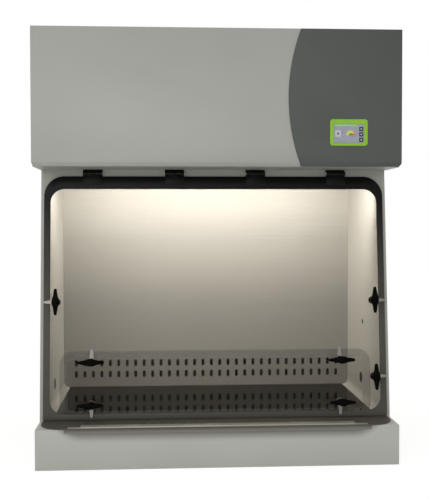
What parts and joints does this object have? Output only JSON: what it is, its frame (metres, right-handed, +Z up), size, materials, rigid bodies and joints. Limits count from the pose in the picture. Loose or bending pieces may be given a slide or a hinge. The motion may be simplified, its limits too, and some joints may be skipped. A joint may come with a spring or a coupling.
{
  "type": "biological safety cabinet",
  "caption": "Bench-top biological safety cabinet with a hinged, latched leaning window, slotted rear baffle, hood with filters and fan, and a green-framed display.",
  "frame": {"origin": "middle of the footprint, on the surface that the cabinet stands on", "axes": "X along the width, the front faces -Y, +Z up"},
  "size_m": [1.092, 0.79, 1.297],
  "materials": {
    "painted_steel": "satin light grey powder coat",
    "stainless": "satin stainless sheet",
    "mirror_stainless": "polished stainless sheet",
    "black_sill": "satin black",
    "rail_steel": "satin",
    "dark_cover": "satin dark grey",
    "black_frame": "satin black coat",
    "black_plastic": "moulded",
    "clear_pane": "clear toughened sheet",
    "clear_cover": "clear sheet",
    "gasket": "translucent soft seal",
    "bright_steel": "bright plated",
    "green_bezel": "moulded",
    "screen": "display window",
    "galvanised": "galvanised sheet",
    "filter_media": "pleated glass fibre",
    "filter_frame": "plain",
    "lamp_glass": "white coated tube",
    "white_paint": "gloss white",
    "board": "circuit board",
    "port_rubber": "moulded",
    "impeller": "moulded"
  },
  "bodies": {
    "cabinet": {"base_shell": "painted_steel", "front_sill": "black_sill", "armrest_rail": "rail_steel", "drain_pan": "stainless", "drain_plug": "black_plastic", "work_tray": "mirror_stainless", "side_panel_left": "painted_steel", "side_panel_right": "painted_steel", "side_liner_left": "stainless", "side_liner_right": "stainless", "port_plugs": "port_rubber", "window_fascia": "painted_steel", "rear_baffle": "stainless", "rear_panel": "painted_steel", "power_inlet": "black_plastic", "rear_screws": "bright_steel", "hinge_fixed_leaves": "black_plastic", "hinge_pins": "bright_steel", "hood_shell": "painted_steel", "hood_front_panel": "painted_steel", "control_panel_cover": "dark_cover", "display_bezel": "green_bezel", "display_screen": "screen", "exhaust_guard": "painted_steel", "supply_filter": "filter_frame", "supply_filter_pack": "filter_media", "exhaust_filter": "filter_frame", "exhaust_filter_pack": "filter_media", "ceiling_diffuser": "white_paint", "plenum_box": "galvanised", "lamp_fixture": "white_paint", "lamp_tube": "lamp_glass", "fan_housing": "galvanised", "fan_motor": "black_plastic", "electronics_tray": "galvanised", "control_board": "board", "power_supply": "galvanised"},
    "window": {"window_frame": "black_frame", "window_pane": "clear_pane", "closure_panel": "clear_cover", "closure_gasket": "gasket", "latch_bushes": "black_plastic", "hinge_window_leaves": "black_plastic"},
    "fan": {"fan_shaft": "bright_steel", "fan_impeller": "impeller"},
    "latch_left": {"latch_wing_left": "black_plastic", "latch_tongue_left": "bright_steel"},
    "latch_right_upper": {"latch_wing_right_upper": "black_plastic", "latch_tongue_right_upper": "bright_steel"},
    "latch_right_lower": {"latch_wing_right_lower": "black_plastic", "latch_tongue_right_lower": "bright_steel"},
    "latch_cover_top_left": {"latch_wing_cover_top_left": "black_plastic", "latch_tongue_cover_top_left": "bright_steel"},
    "latch_cover_top_right": {"latch_wing_cover_top_right": "black_plastic", "latch_tongue_cover_top_right": "bright_steel"},
    "latch_cover_foot_left": {"latch_wing_cover_foot_left": "black_plastic", "latch_tongue_cover_foot_left": "bright_steel"},
    "latch_cover_foot_right": {"latch_wing_cover_foot_right": "black_plastic", "latch_tongue_cover_foot_right": "bright_steel"}
  },
  "joints": [
    {"name": "window_swing", "type": "hinge", "parent": "cabinet", "child": "window", "pos_m": [0, -0.21185, 0.87769], "axis": [-1, 0, 0], "range_deg": [0, 80]},
    {"name": "fan_spin", "type": "hinge", "parent": "cabinet", "child": "fan", "pos_m": [0, 0.224, 1.049], "axis": [0, 1, 0], "continuous": true},
    {"name": "latch_turn_left", "type": "hinge", "parent": "window", "child": "latch_left", "pos_m": [-0.489, -0.24048, 0.48034], "axis": [0, -0.9941, 0.1089], "range_deg": [0, 90]},
    {"name": "latch_turn_right_upper", "type": "hinge", "parent": "window", "child": "latch_right_upper", "pos_m": [0.489, -0.24048, 0.48034], "axis": [0, -0.9941, 0.1089], "range_deg": [-90, 0]},
    {"name": "latch_turn_right_lower", "type": "hinge", "parent": "window", "child": "latch_right_lower", "pos_m": [0.489, -0.26617, 0.24574], "axis": [0, -0.9941, 0.1089], "range_deg": [-90, 0]},
    {"name": "latch_turn_cover_top_left", "type": "hinge", "parent": "window", "child": "latch_cover_top_left", "pos_m": [-0.383, -0.26045, 0.29797], "axis": [0, -0.9941, 0.1089], "range_deg": [-90, 0]},
    {"name": "latch_turn_cover_top_right", "type": "hinge", "parent": "window", "child": "latch_cover_top_right", "pos_m": [0.383, -0.26045, 0.29797], "axis": [0, -0.9941, 0.1089], "range_deg": [0, 90]},
    {"name": "latch_turn_cover_foot_left", "type": "hinge", "parent": "window", "child": "latch_cover_foot_left", "pos_m": [-0.383, -0.2745, 0.16973], "axis": [0, -0.9941, 0.1089], "range_deg": [0, 90]},
    {"name": "latch_turn_cover_foot_right", "type": "hinge", "parent": "window", "child": "latch_cover_foot_right", "pos_m": [0.383, -0.2745, 0.16973], "axis": [0, -0.9941, 0.1089], "range_deg": [-90, 0]}
  ]
}
